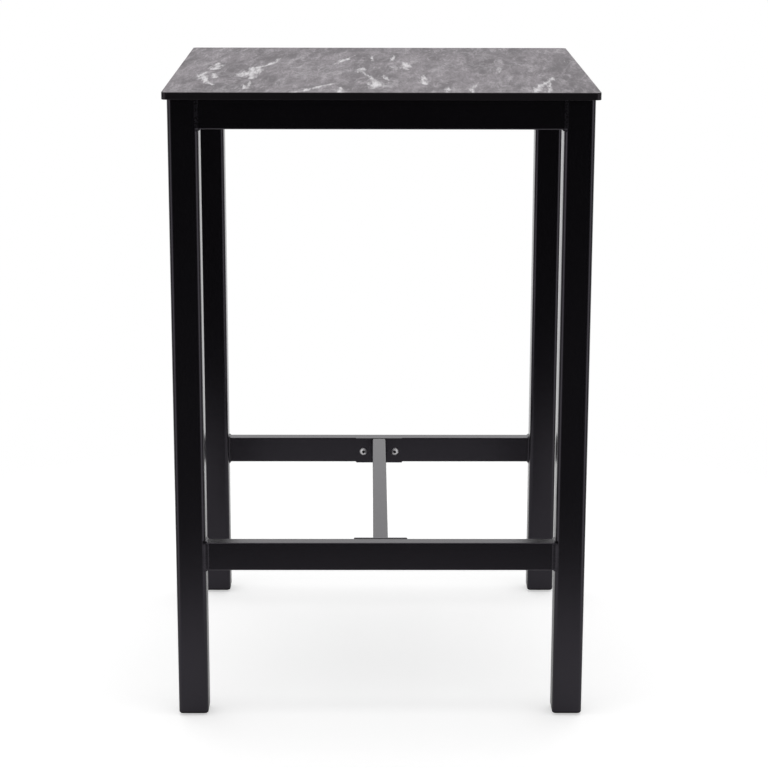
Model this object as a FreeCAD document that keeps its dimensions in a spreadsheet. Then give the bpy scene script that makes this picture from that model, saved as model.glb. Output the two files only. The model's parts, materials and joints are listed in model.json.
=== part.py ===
import FreeCAD, Part
import Sketcher
import math
import os
from types import SimpleNamespace

# Square bar-height pub table, in millimetres.
# The frame has +X to the right, +Y to the rear and +Z up, with its origin on the floor under
# the middle of the table. Two welded end frames, front and rear, are each two legs, an apron
# and a foot rail. Side aprons and a cross rail join them, bolted through end plates.

SIZES = {
    # overall
    "overall_high": 1060,
    "top_wide": 700,
    "top_thick": 12,
    "top_corner_rad": 8,
    "top_edge_ease": 0.6,
    "top_overhang": 8,
    # square leg tube
    "leg_wide": 50,
    "leg_wall": 2,
    "leg_corner_rad": 7,
    "leg_bore_rad": 5,
    # flat rail tube of the aprons, foot rails and cross rail
    "rail_high": 48,
    "rail_thick": 25,
    "rail_wall": 2,
    "rail_corner_rad": 2,
    "rail_bore_rad": 0.8,
    "foot_rail_level": 260,
    # end plates of the cross rail, against the foot rails
    "flange_wide": 90,
    "flange_proud": 0.6,
    "flange_bolt_gap": 61,
    "flange_bolt_drop": 2,
    # end plates of the side aprons, against the legs
    "end_plate_inset": 1,
    "end_bolt_gap": 26,
    # all end plates
    "plate_thick": 4,
    "plate_corner_rad": 2,
    # button-head bolts of the end plates
    "bolt_rad": 4,
    "bolt_long": 18,
    "bolt_head_rad": 7,
    "bolt_head_high": 4.4,
    "bolt_head_rim": 0.8,
    "bolt_socket_flats": 5,
    "bolt_socket_deep": 2.6,
    "bolt_hole_gap": 0.4,
    # blind rivet nuts in the tube walls
    "rivet_nut_rad": 5.5,
    "rivet_nut_long": 15,
    "rivet_bulge_rad": 7.2,
    "rivet_bulge_thick": 3,
    "rivet_hole_gap": 0.1,
    # tabs under the top, with their screws and inserts
    "tab_long": 40,
    "tab_reach": 26,
    "tab_thick": 3,
    "tab_corner_rad": 2,
    "tab_hole_reach": 14,
    "tab_station": 200,
    "screw_rad": 3,
    "screw_long": 10,
    "screw_head_rad": 5.25,
    "screw_head_high": 3.3,
    "screw_head_rim": 0.7,
    "screw_socket_flats": 4,
    "screw_socket_deep": 2,
    "insert_rad": 4.5,
    "insert_long": 8.5,
    "insert_bore_spare": 0.8,
    "insert_gap": 0.05,
    # thread fits: a plain shank in a plain bore
    "thread_gap": 0.05,
    # square plug in the foot of each leg
    "plug_lip_thick": 3,
    "plug_lip_inset": 0.5,
    "plug_lip_ease": 1.2,
    "plug_deep": 22,
    "plug_core_wide": 40,
    "plug_fin_thick": 2,
    "plug_fin_pitch": 6.5,
    "plug_fin_first": 3,
    "plug_gap": 0.1,
    "plug_bore_gap": 0.3,
    # levelling glide: hexagon nut in the plug, stud and pad
    "glide_nut_flats": 17,
    "glide_nut_high": 8,
    "glide_nut_gap": 0.2,
    "glide_nut_sink": 0.5,
    "glide_travel": 12,
    "pad_rad": 13,
    "pad_thick": 4,
    "pad_edge_ease": 0.8,
    "pad_floor": 1.5,
    "stud_rad": 5,
    "stud_head_rad": 8,
    "stud_head_sink": 0.1,
    "stud_head_gap": 0.1,
    "stud_spare": 3,
}

X_DIRECTION = FreeCAD.Vector(1, 0, 0)
Y_DIRECTION = FreeCAD.Vector(0, 1, 0)
Z_DIRECTION = FreeCAD.Vector(0, 0, 1)

# Sketcher's own numbers: the horizontal and vertical axis, the origin and a geometry's points.
H_AXIS, V_AXIS, ORIGIN = -1, -2, (-1, 1)
START, END, CENTRE = 1, 2, 3


class Size:
    """A length known both as a number and as an expression of the sheet's cells."""

    def __init__(self, number, text):
        self.number = number
        self.text = text

    def __add__(self, other):
        return Size(self.number + number_of(other), f"({self.text} + {text_of(other)})")

    def __sub__(self, other):
        return Size(self.number - number_of(other), f"({self.text} - {text_of(other)})")

    def __mul__(self, other):
        return Size(self.number * number_of(other), f"({self.text} * {text_of(other)})")

    def __truediv__(self, other):
        return Size(self.number / number_of(other), f"({self.text} / {text_of(other)})")

    def __neg__(self):
        return Size(-self.number, f"(-{self.text})")


def number_of(value):
    return value.number if isinstance(value, Size) else value


def text_of(value):
    return value.text if isinstance(value, Size) else str(value)


doc = FreeCAD.newDocument("pub_table")
sheet = doc.addObject("Spreadsheet::Sheet", "sizes")
for row, (alias, number) in enumerate(SIZES.items(), 1):
    sheet.set(f"A{row}", str(number))
    sheet.setAlias(f"A{row}", alias)
doc.recompute()
size = SimpleNamespace(**{alias: Size(number, f"sizes.{alias}") for alias, number in SIZES.items()})

# ---------------------------------------------------------------- places worked out from the sizes

frame_half = size.top_wide / 2 - size.top_overhang
leg_line = frame_half - size.leg_wide / 2
leg_inner = frame_half - size.leg_wide
rail_line = frame_half - size.rail_thick / 2
rail_inner = frame_half - size.rail_thick

leg_base = size.pad_thick + size.plug_lip_thick
frame_top = size.overall_high - size.top_thick
apron_mid = frame_top - size.rail_high / 2
foot_rail_mid = size.foot_rail_level + size.rail_high / 2
leg_bore = size.leg_wide - size.leg_wall * 2

flange_high = size.rail_high + size.flange_proud * 2
end_plate_wide = size.leg_wide - size.end_plate_inset * 2
end_bolt_inward = (size.rail_thick - size.end_plate_inset) / 2
tab_hole_line = rail_inner - size.tab_hole_reach

glide_nut_top = size.pad_thick + size.glide_nut_sink + size.glide_nut_high
stud_top = glide_nut_top + size.glide_travel + size.stud_spare
stud_head_thick = size.pad_thick - size.pad_floor - size.stud_head_sink

SIDES = (("left", -1), ("right", 1))
ENDS = (("front", -1), ("rear", 1))

parts = []

# ---------------------------------------------------------------- tools for bodies and sketches


def bind(item, name, value):
    """Ties a property of an object to the sheet."""
    if isinstance(value, Size):
        item.setExpression(name, value.text)


def new_body(label):
    body = doc.addObject("PartDesign::Body", label)
    body.Label = label
    parts.append(body)
    return body


def place(item, x=0, y=0, z=0, turn=FreeCAD.Rotation()):
    """Turns an object about its own origin, then puts that origin at x, y, z."""
    item.Placement = FreeCAD.Placement(FreeCAD.Vector(), turn)
    for axis, distance in zip("xyz", (x, y, z)):
        bind(item, f"Placement.Base.{axis}", distance)


def facing(out, across):
    """A turn that points local Z out and local Y across."""
    return FreeCAD.Rotation(across.cross(out), across, out, "ZXY")


def datum(body, role):
    return next(item for item in body.Origin.OriginFeatures if item.Role == role)


def attach(item, body, role, x=0, y=0, z=0):
    """Lays a sketch or primitive on an origin plane, moved by x, y in it and z off it."""
    item.AttachmentSupport = [(datum(body, role), "")]
    item.MapMode = "FlatFace"
    for axis, distance in zip("xyz", (x, y, z)):
        bind(item, f"AttachmentOffset.Base.{axis}", distance)


def new_sketch(body, role, name, x=0, y=0, z=0):
    sketch = body.newObject("Sketcher::SketchObject", f"{body.Label}_{name}")
    attach(sketch, body, role, x, y, z)
    return sketch


def dimension(sketch, kind, *places, value):
    """Adds a dimension that follows the sheet."""
    index = sketch.addConstraint(Sketcher.Constraint(kind, *places, number_of(value)))
    bind(sketch, f"Constraints[{index}]", value)


def relate(sketch, kind, *places):
    """Adds a constraint that has no size."""
    sketch.addConstraint(Sketcher.Constraint(kind, *places))


def rounded_rectangle(sketch, wide, high, radius):
    """Draws a rectangle with round corners about the sketch's origin."""
    half_wide, half_high, rad = number_of(wide) / 2, number_of(high) / 2, number_of(radius)
    corners = ((1, -1, 270), (1, 1, 0), (-1, 1, 90), (-1, -1, 180))
    arcs, lines = [], []
    for x_side, y_side, angle in corners:
        centre = FreeCAD.Vector(x_side * (half_wide - rad), y_side * (half_high - rad), 0)
        whole = Part.Circle(centre, Z_DIRECTION, rad)
        arc = Part.ArcOfCircle(whole, math.radians(angle), math.radians(angle + 90))
        arcs.append(sketch.addGeometry(arc))
    shapes = [sketch.Geometry[arc] for arc in arcs]
    for first, second in zip(shapes, shapes[1:] + shapes[:1]):
        lines.append(sketch.addGeometry(Part.LineSegment(first.EndPoint, second.StartPoint)))
    for number, (arc, line) in enumerate(zip(arcs, lines)):
        following = arcs[(number + 1) % len(arcs)]
        relate(sketch, "Tangent", arc, END, line, START)
        relate(sketch, "Tangent", line, END, following, START)
        relate(sketch, "Horizontal" if number % 2 else "Vertical", line)
    for arc in arcs[1:]:
        relate(sketch, "Equal", arcs[0], arc)
    relate(sketch, "Symmetric", arcs[0], CENTRE, arcs[2], CENTRE, *ORIGIN)
    dimension(sketch, "Radius", arcs[0], value=radius)
    dimension(sketch, "DistanceX", lines[2], START, lines[0], START, value=wide)
    dimension(sketch, "DistanceY", lines[3], START, lines[1], START, value=high)


def locate(sketch, geometry, x, y):
    """Holds the centre of a circle at x, y."""
    for kind, axis, value in (("DistanceX", V_AXIS, x), ("DistanceY", H_AXIS, y)):
        if number_of(value) > 0:
            dimension(sketch, kind, *ORIGIN, geometry, CENTRE, value=value)
        elif number_of(value) < 0:
            dimension(sketch, kind, geometry, CENTRE, *ORIGIN, value=-value)
        else:
            relate(sketch, "PointOnObject", geometry, CENTRE, axis)


def circle(sketch, x, y, radius):
    """Draws a circle about x, y."""
    centre = FreeCAD.Vector(number_of(x), number_of(y), 0)
    ring = sketch.addGeometry(Part.Circle(centre, Z_DIRECTION, number_of(radius)))
    locate(sketch, ring, x, y)
    dimension(sketch, "Radius", ring, value=radius)


def hexagon(sketch, x, y, flats):
    """Draws a hexagon round a construction circle that touches its flats."""
    inner = number_of(flats) / 2
    centre = FreeCAD.Vector(number_of(x), number_of(y), 0)
    ring = sketch.addGeometry(Part.Circle(centre, Z_DIRECTION, inner), True)
    corners = []
    for step in range(6):
        turn = FreeCAD.Rotation(Z_DIRECTION, 60 * step)
        corners.append(centre + turn.multVec(FreeCAD.Vector(inner / math.cos(math.radians(30)), 0, 0)))
    lines = [
        sketch.addGeometry(Part.LineSegment(corner, corners[(number + 1) % 6]))
        for number, corner in enumerate(corners)
    ]
    for number, line in enumerate(lines):
        relate(sketch, "Coincident", line, END, lines[(number + 1) % 6], START)
        relate(sketch, "Tangent", line, ring)
    for line in lines[1:]:
        relate(sketch, "Equal", lines[0], line)
    relate(sketch, "Horizontal", lines[1])
    locate(sketch, ring, x, y)
    dimension(sketch, "Radius", ring, value=flats / 2)


def extrude(body, sketch, long, name, midplane=False):
    """Pads a sketch along its normal, or equally to both sides of its plane."""
    pad = body.newObject("PartDesign::Pad", f"{body.Label}_{name}")
    pad.Profile = sketch
    if midplane:
        pad.SideType = "Symmetric"
    bind(pad, "Length", long)
    doc.recompute()
    return pad


def cut(body, sketch, deep, name, along_normal=False):
    """Cuts a sketch into the body, against its normal unless it is said to go along it."""
    before = body.Shape.Volume
    pocket = body.newObject("PartDesign::Pocket", f"{body.Label}_{name}")
    pocket.Profile = sketch
    pocket.Reversed = along_normal
    bind(pocket, "Length", deep)
    doc.recompute()
    if body.Shape.Volume >= before:
        raise RuntimeError(f"{pocket.Label} cuts nothing")
    return pocket


def cylinder(body, name, radius, long, x=0, y=0, z=0, kind="Additive"):
    """A round stretch along local Z that starts at x, y, z."""
    rod = body.newObject(f"PartDesign::{kind}Cylinder", f"{body.Label}_{name}")
    attach(rod, body, "XY_Plane", x, y, z)
    bind(rod, "Radius", radius)
    bind(rod, "Height", long)
    doc.recompute()
    return rod


def edge_names(shape, wanted):
    return [f"Edge{number}" for number, edge in enumerate(shape.Edges, 1) if wanted(edge)]


def level(edge, height):
    """Whether an edge lies flat at a local height."""
    box = edge.BoundBox
    return abs(box.ZMin - number_of(height)) < 1e-4 and abs(box.ZMax - number_of(height)) < 1e-4


def dress(body, kind, base, wanted, amount, name):
    """Rounds or chamfers the wanted edges of the last feature."""
    names = edge_names(base.Shape, wanted)
    if not names:
        raise RuntimeError(f"{body.Label} {name} finds no edge")
    feature = body.newObject(f"PartDesign::{kind}", f"{body.Label}_{name}")
    feature.Base = (base, names)
    bind(feature, "Radius" if kind == "Fillet" else "Size", amount)
    doc.recompute()
    return feature


def copy_whole(body, kind, name, **settings):
    """Repeats the whole body so far, by a mirror or a pattern."""
    feature = body.newObject(f"PartDesign::{kind}", f"{body.Label}_{name}")
    feature.TransformMode = "Whole shape"
    for key, value in settings.items():
        setattr(feature, key, value)
    body.Tip = feature
    doc.recompute()
    return feature


def mirror_whole(body, role, name):
    copy_whole(body, "Mirrored", name, MirrorPlane=(datum(body, role), [""]))


# ---------------------------------------------------------------- pieces


def tube(label, role, wide, high, corner_rad, wall, bore_rad, long, midplane=True):
    """A hollow bar whose section lies on one of its origin planes."""
    body = new_body(label)
    section = new_sketch(body, role, "section")
    rounded_rectangle(section, wide, high, corner_rad)
    rounded_rectangle(section, wide - wall * 2, high - wall * 2, bore_rad)
    extrude(body, section, long, "bar", midplane)
    return body


def rail(label, role, long):
    """A length of rail tube, along X on the YZ plane or along Y on the XZ plane."""
    return tube(
        label, role, size.rail_thick, size.rail_high,
        size.rail_corner_rad, size.rail_wall, size.rail_bore_rad, long,
    )


def rivet_holes(body, places, half_deep, to_front):
    """Bores for rivet nuts through the wall that faces the front or the rear."""
    sketch = new_sketch(body, "XZ_Plane", "rivet_places")
    for x, z in places:
        circle(sketch, x, z, size.rivet_nut_rad + size.rivet_hole_gap)
    cut(body, sketch, half_deep, "rivet_holes", along_normal=to_front)


def half_dome(sketch, wide_rad, rim, high):
    """Draws half of a domed head: a flat seat, an upright rim and an arc centred on the axis."""
    seat_rad, edge, top = number_of(wide_rad), number_of(rim), number_of(high)
    rise = top - edge
    ball = (seat_rad ** 2 + rise ** 2) / (2 * rise)
    foot, corner = FreeCAD.Vector(), FreeCAD.Vector(seat_rad, 0, 0)
    shoulder, crown = FreeCAD.Vector(seat_rad, edge, 0), FreeCAD.Vector(0, top, 0)
    middle = FreeCAD.Vector(0, top - ball, 0)
    start = math.atan2(edge - middle.y, seat_rad)
    whole = Part.Circle(middle, Z_DIRECTION, ball)
    seat = sketch.addGeometry(Part.LineSegment(foot, corner))
    side = sketch.addGeometry(Part.LineSegment(corner, shoulder))
    arc = sketch.addGeometry(Part.ArcOfCircle(whole, start, math.pi / 2))
    axis = sketch.addGeometry(Part.LineSegment(crown, foot))
    for first, second in ((seat, side), (axis, seat)):
        relate(sketch, "Coincident", first, END, second, START)
    relate(sketch, "Coincident", side, END, arc, START)
    relate(sketch, "Coincident", arc, END, axis, START)
    relate(sketch, "Coincident", seat, START, *ORIGIN)
    relate(sketch, "Horizontal", seat)
    relate(sketch, "Vertical", side)
    relate(sketch, "PointOnObject", axis, START, V_AXIS)
    relate(sketch, "PointOnObject", arc, CENTRE, V_AXIS)
    dimension(sketch, "DistanceX", seat, START, seat, END, value=wide_rad)
    dimension(sketch, "DistanceY", side, START, side, END, value=rim)
    dimension(sketch, "DistanceY", axis, END, axis, START, value=high)


def button_head(body, x, y, seat, shank_rad, shank_long, head_rad, head_high, rim, flats, deep):
    """A socket button-head screw along local Z, its head on the seat and its shank below."""
    cylinder(body, "shank", shank_rad, shank_long, x, y, seat - shank_long)
    profile = new_sketch(body, "XZ_Plane", "head_profile", x, seat, -y)
    half_dome(profile, head_rad, rim, head_high)
    head = body.newObject("PartDesign::Revolution", f"{body.Label}_head")
    head.Profile = profile
    head.ReferenceAxis = (profile, ["V_Axis"])
    doc.recompute()
    socket = new_sketch(body, "XY_Plane", "socket_outline", x, y, seat + head_high)
    hexagon(socket, 0, 0, flats)
    cut(body, socket, deep, "socket")


def bolted_end(labels, where, wall, plate_wide, plate_high, half_gap, offset):
    """A plate against a tube wall, its pair of bolts and the rivet nuts behind.

    Local Z points away from the wall, whose face is at local Z = 0. The bolts stand at
    half_gap to each side of local X = 0, and at offset in local Y.
    """
    plate_label, bolts_label, nuts_label = labels
    plate = new_body(plate_label)
    outline = new_sketch(plate, "XY_Plane", "outline")
    rounded_rectangle(outline, plate_wide, plate_high, size.plate_corner_rad)
    for x in (half_gap, -half_gap):
        circle(outline, x, offset, size.bolt_rad + size.bolt_hole_gap)
    extrude(plate, outline, size.plate_thick, "blank")

    bolts = new_body(bolts_label)
    button_head(
        bolts, half_gap, offset, size.plate_thick, size.bolt_rad, size.bolt_long, size.bolt_head_rad,
        size.bolt_head_high, size.bolt_head_rim, size.bolt_socket_flats, size.bolt_socket_deep,
    )
    mirror_whole(bolts, "YZ_Plane", "pair")

    nuts = new_body(nuts_label)
    nut_end = -size.rivet_nut_long
    bulge_end = -(wall + size.rivet_bulge_thick)
    cylinder(nuts, "sleeve", size.rivet_nut_rad, size.rivet_nut_long, half_gap, offset, nut_end)
    cylinder(nuts, "bulge", size.rivet_bulge_rad, size.rivet_bulge_thick, half_gap, offset, bulge_end)
    cylinder(
        nuts, "bore", size.bolt_rad + size.thread_gap, size.rivet_nut_long,
        half_gap, offset, nut_end, kind="Subtractive",
    )
    mirror_whole(nuts, "YZ_Plane", "pair")

    for body in (plate, bolts, nuts):
        place(body, **where)


def table_top():
    body = new_body("table_top")
    outline = new_sketch(body, "XY_Plane", "outline")
    rounded_rectangle(outline, size.top_wide, size.top_wide, size.top_corner_rad)
    slab = extrude(body, outline, size.top_thick, "slab")
    dress(
        body, "Chamfer", slab,
        lambda edge: level(edge, 0) or level(edge, size.top_thick), size.top_edge_ease, "arris",
    )
    bores = new_sketch(body, "XY_Plane", "insert_places")
    for x_sign in (-1, 1):
        for y_sign in (-1, 1):
            for x, y in ((size.tab_station, tab_hole_line), (tab_hole_line, size.tab_station)):
                circle(bores, x * x_sign, y * y_sign, size.insert_rad + size.insert_gap)
    cut(body, bores, size.insert_long + size.insert_bore_spare, "insert_bores", along_normal=True)
    place(body, z=frame_top)


def repeat_round_top(body):
    """Repeats a piece at one fixing of the top to all eight."""
    mirror_whole(body, "YZ_Plane", "left_right")
    mirror_whole(body, "XZ_Plane", "front_rear")
    axis = (datum(body, "Z_Axis"), [""])
    copy_whole(body, "PolarPattern", "side_fixings", Axis=axis, Angle=90, Occurrences=2)


def top_fixings():
    inserts = new_body("top_inserts")
    cylinder(inserts, "sleeve", size.insert_rad, size.insert_long, size.tab_station, tab_hole_line)
    cylinder(
        inserts, "bore", size.screw_rad + size.thread_gap, size.insert_long,
        size.tab_station, tab_hole_line, kind="Subtractive",
    )
    repeat_round_top(inserts)
    place(inserts, z=frame_top)

    screws = new_body("top_screws")
    button_head(
        screws, size.tab_station, tab_hole_line, size.tab_thick, size.screw_rad, size.screw_long,
        size.screw_head_rad, size.screw_head_high, size.screw_head_rim,
        size.screw_socket_flats, size.screw_socket_deep,
    )
    repeat_round_top(screws)
    place(screws, z=frame_top, turn=facing(-Z_DIRECTION, Y_DIRECTION))

    quarter_turns = (
        ("front", dict(y=-rail_inner)), ("right", dict(x=rail_inner)),
        ("rear", dict(y=rail_inner)), ("left", dict(x=-rail_inner)),
    )
    for number, (name, where) in enumerate(quarter_turns):
        tabs = new_body(f"top_tabs_{name}")
        outline = new_sketch(tabs, "XY_Plane", "outline", size.tab_station, size.tab_reach / 2)
        rounded_rectangle(outline, size.tab_long, size.tab_reach, size.tab_corner_rad)
        circle(outline, 0, size.tab_hole_reach - size.tab_reach / 2, size.screw_rad + size.bolt_hole_gap)
        extrude(tabs, outline, size.tab_thick, "blank")
        mirror_whole(tabs, "YZ_Plane", "pair")
        turn = FreeCAD.Rotation(Z_DIRECTION, 90 * number)
        place(tabs, z=frame_top - size.tab_thick, turn=turn, **where)


def end_frame(end, y_side):
    """Two legs, an apron and a foot rail, welded together."""
    for side, x_side in SIDES:
        leg = tube(
            f"leg_{end}_{side}", "XY_Plane", size.leg_wide, size.leg_wide, size.leg_corner_rad,
            size.leg_wall, size.leg_bore_rad, frame_top - leg_base, midplane=False,
        )
        plate_level = apron_mid - leg_base
        levels = (plate_level - size.end_bolt_gap / 2, plate_level + size.end_bolt_gap / 2)
        places = [(end_bolt_inward * -x_side, z) for z in levels]
        rivet_holes(leg, places, size.leg_wide / 2, to_front=y_side > 0)
        place(leg, leg_line * x_side, leg_line * y_side, leg_base)

    rail_long = leg_inner * 2
    apron = rail(f"apron_{end}", "YZ_Plane", rail_long)
    place(apron, y=rail_line * y_side, z=apron_mid)

    foot_rail = rail(f"foot_rail_{end}", "YZ_Plane", rail_long)
    half_gap = size.flange_bolt_gap / 2
    places = [(half_gap, -size.flange_bolt_drop), (-half_gap, -size.flange_bolt_drop)]
    rivet_holes(foot_rail, places, size.rail_thick / 2, to_front=y_side > 0)
    place(foot_rail, y=rail_line * y_side, z=foot_rail_mid)


def cross_rail():
    """The rail between the foot rails, with its flanges and their bolts."""
    bar = rail("cross_rail", "XZ_Plane", (rail_inner - size.plate_thick) * 2)
    place(bar, z=foot_rail_mid)
    for end, y_side in ENDS:
        turn = facing(Y_DIRECTION * -y_side, -Z_DIRECTION)
        bolted_end(
            (f"cross_rail_flange_{end}", f"cross_rail_bolts_{end}", f"foot_rail_nuts_{end}"),
            dict(y=rail_inner * y_side, z=foot_rail_mid, turn=turn), size.rail_wall,
            size.flange_wide, flange_high, size.flange_bolt_gap / 2, size.flange_bolt_drop,
        )


def side_apron(side, x_side):
    """The apron between the two end frames on one side, with its end plates and bolts."""
    bar = rail(f"apron_{side}", "XZ_Plane", (leg_inner - size.plate_thick) * 2)
    place(bar, x=rail_line * x_side, z=apron_mid)
    for end, y_side in ENDS:
        turn = facing(Y_DIRECTION * -y_side, X_DIRECTION * -x_side)
        bolted_end(
            (f"apron_plate_{side}_{end}", f"apron_bolts_{side}_{end}", f"leg_nuts_{side}_{end}"),
            dict(x=leg_line * x_side, y=leg_inner * y_side, z=apron_mid, turn=turn), size.leg_wall,
            size.rail_high, end_plate_wide, size.end_bolt_gap / 2, end_bolt_inward,
        )


def leg_plug(label):
    """A square plug: a lip under the leg's end, a core with fins in its bore, and a nut pocket."""
    body = new_body(label)
    lip_wide = size.leg_wide - size.plug_lip_inset * 2
    lip_outline = new_sketch(body, "XY_Plane", "lip_outline")
    rounded_rectangle(lip_outline, lip_wide, lip_wide, size.leg_corner_rad)
    lip = extrude(body, lip_outline, size.plug_lip_thick, "lip")
    dress(body, "Chamfer", lip, lambda edge: level(edge, 0), size.plug_lip_ease, "lip_ease")

    core_outline = new_sketch(body, "XY_Plane", "core_outline", z=size.plug_lip_thick)
    rounded_rectangle(core_outline, size.plug_core_wide, size.plug_core_wide, size.leg_bore_rad)
    extrude(body, core_outline, size.plug_deep, "core")

    fin_wide = leg_bore - size.plug_gap * 2
    fin_outline = new_sketch(
        body, "XY_Plane", "fin_outline", z=size.plug_lip_thick + size.plug_fin_first
    )
    rounded_rectangle(fin_outline, fin_wide, fin_wide, size.leg_bore_rad)
    fin = extrude(body, fin_outline, size.plug_fin_thick, "fin")
    fins = body.newObject("PartDesign::LinearPattern", f"{label}_fins")
    fins.Originals = [fin]
    fins.Direction = (datum(body, "Z_Axis"), [""])
    fins.Mode = "Spacing"
    fins.Occurrences = 3
    bind(fins, "Offset", size.plug_fin_pitch)
    body.Tip = fins
    doc.recompute()

    whole = size.plug_lip_thick + size.plug_deep
    cylinder(body, "stud_way", size.stud_rad + size.plug_bore_gap, whole, kind="Subtractive")
    pocket_outline = new_sketch(body, "XY_Plane", "nut_outline")
    hexagon(pocket_outline, 0, 0, size.glide_nut_flats + size.glide_nut_gap * 2)
    cut(body, pocket_outline, size.glide_nut_high + size.glide_nut_sink, "nut_pocket", along_normal=True)
    return body


def glide_nut(label):
    body = new_body(label)
    outline = new_sketch(body, "XY_Plane", "outline")
    hexagon(outline, 0, 0, size.glide_nut_flats)
    circle(outline, 0, 0, size.stud_rad + size.thread_gap)
    extrude(body, outline, size.glide_nut_high, "blank")
    return body


def glide_pad(label):
    """A round pad, recessed from above for the head of its stud."""
    body = new_body(label)
    disc = cylinder(body, "disc", size.pad_rad, size.pad_thick)
    dress(body, "Chamfer", disc, lambda edge: level(edge, 0), size.pad_edge_ease, "tread_edge")
    cylinder(
        body, "recess", size.stud_head_rad + size.stud_head_gap, size.pad_thick - size.pad_floor,
        z=size.pad_floor, kind="Subtractive",
    )
    return body


def glide_stud(label):
    """A stud whose round head lies in the pad and whose shank goes up through the nut."""
    body = new_body(label)
    cylinder(body, "head", size.stud_head_rad, stud_head_thick)
    cylinder(body, "shank", size.stud_rad, stud_top - size.pad_floor)
    return body


def leg_foot(end, side, x_side, y_side):
    corner = f"{end}_{side}"
    x, y = leg_line * x_side, leg_line * y_side
    place(leg_plug(f"leg_plug_{corner}"), x, y, size.pad_thick)
    place(glide_nut(f"glide_nut_{corner}"), x, y, glide_nut_top - size.glide_nut_high)
    place(glide_pad(f"glide_pad_{corner}"), x, y)
    place(glide_stud(f"glide_stud_{corner}"), x, y, size.pad_floor)


# ---------------------------------------------------------------- the table

table_top()
top_fixings()
cross_rail()
for end, y_side in ENDS:
    end_frame(end, y_side)
for side, x_side in SIDES:
    side_apron(side, x_side)
    for end, y_side in ENDS:
        leg_foot(end, side, x_side, y_side)
doc.recompute()

# ---------------------------------------------------------------- checks and files

for item in doc.Objects:
    if "Invalid" in item.State or "Error" in item.State:
        raise RuntimeError(f"{item.Label} is {item.State}")
for body in parts:
    if body.Shape.isNull() or not body.Shape.isValid():
        raise RuntimeError(f"{body.Label} has no valid shape")

os.makedirs("parts", exist_ok=True)
for body in parts:
    body.Shape.exportStep(f"parts/{body.Label}.step")
    box = body.Shape.BoundBox
    solids, volume = len(body.Shape.Solids), body.Shape.Volume
    print(f"{body.Label}: {solids} solids, {volume:.0f} mm3, z {box.ZMin:.1f} to {box.ZMax:.1f}")
print(f"{len(parts)} parts")
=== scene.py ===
import json
import math

import bmesh
import bpy
from mathutils import Matrix, Vector, noise

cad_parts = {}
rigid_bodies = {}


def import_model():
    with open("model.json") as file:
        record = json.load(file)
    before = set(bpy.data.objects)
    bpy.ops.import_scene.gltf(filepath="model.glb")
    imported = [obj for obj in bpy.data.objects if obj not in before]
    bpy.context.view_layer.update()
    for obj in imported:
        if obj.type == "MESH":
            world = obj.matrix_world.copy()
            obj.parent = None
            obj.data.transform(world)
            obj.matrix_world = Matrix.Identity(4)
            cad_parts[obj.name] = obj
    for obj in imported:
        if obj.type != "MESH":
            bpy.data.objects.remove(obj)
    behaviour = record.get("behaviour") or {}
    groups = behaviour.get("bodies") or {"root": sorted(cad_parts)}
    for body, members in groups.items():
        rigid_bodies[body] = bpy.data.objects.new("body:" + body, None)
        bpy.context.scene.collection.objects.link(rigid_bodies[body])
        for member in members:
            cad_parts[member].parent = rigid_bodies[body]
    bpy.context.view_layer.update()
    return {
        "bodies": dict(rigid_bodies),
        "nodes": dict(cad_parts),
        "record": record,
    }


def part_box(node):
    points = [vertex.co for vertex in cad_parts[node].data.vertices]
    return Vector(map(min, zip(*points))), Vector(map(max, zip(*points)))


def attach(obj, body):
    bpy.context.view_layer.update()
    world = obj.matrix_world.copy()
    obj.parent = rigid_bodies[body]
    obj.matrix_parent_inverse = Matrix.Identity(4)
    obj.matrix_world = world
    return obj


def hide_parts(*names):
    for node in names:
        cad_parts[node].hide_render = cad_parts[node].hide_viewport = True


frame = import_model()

# Square bar-height pub table: marble-look laminate top on a black powder-coated tube frame.
# Metres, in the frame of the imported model: +X right, +Y rear, +Z up, origin on the floor.

nodes = frame["nodes"]
scene = bpy.context.scene

MM = 0.001

# ---------------------------------------------------------------- places read from the frame

_, top_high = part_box("table_top")
rail_low, rail_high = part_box("foot_rail_front")
apron_low, apron_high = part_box("apron_front")
bar_low, bar_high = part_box("cross_rail")

LEG_CORNER = 7.0 * MM
RAIL_CORNER = 2.0 * MM
HALF_TOP = top_high.x

# The bolts' axes run front to rear; their places with x taken as positive. The painted shade of their hex
# sockets is centred on them.
heads_low, heads_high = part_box("cross_rail_bolts_front")
BOLT_HEAD = (heads_high.z - heads_low.z) / 2
end_low, end_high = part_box("apron_bolts_right_front")
end_x = (end_low.x + end_high.x) / 2
BOLT_AXES = (
    (heads_high.x - BOLT_HEAD, 0.0, (heads_low.z + heads_high.z) / 2),
    (end_x, 0.0, end_low.z + BOLT_HEAD),
    (end_x, 0.0, end_high.z - BOLT_HEAD),
)
# How far the painted shade of a bolt's hex socket reaches from its axis, and over what length it softens.
SOCKET_SHADE_REACH = 2.95 * MM
SOCKET_SHADE_SOFT = 0.3 * MM


# ---------------------------------------------------------------- node helpers


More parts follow.
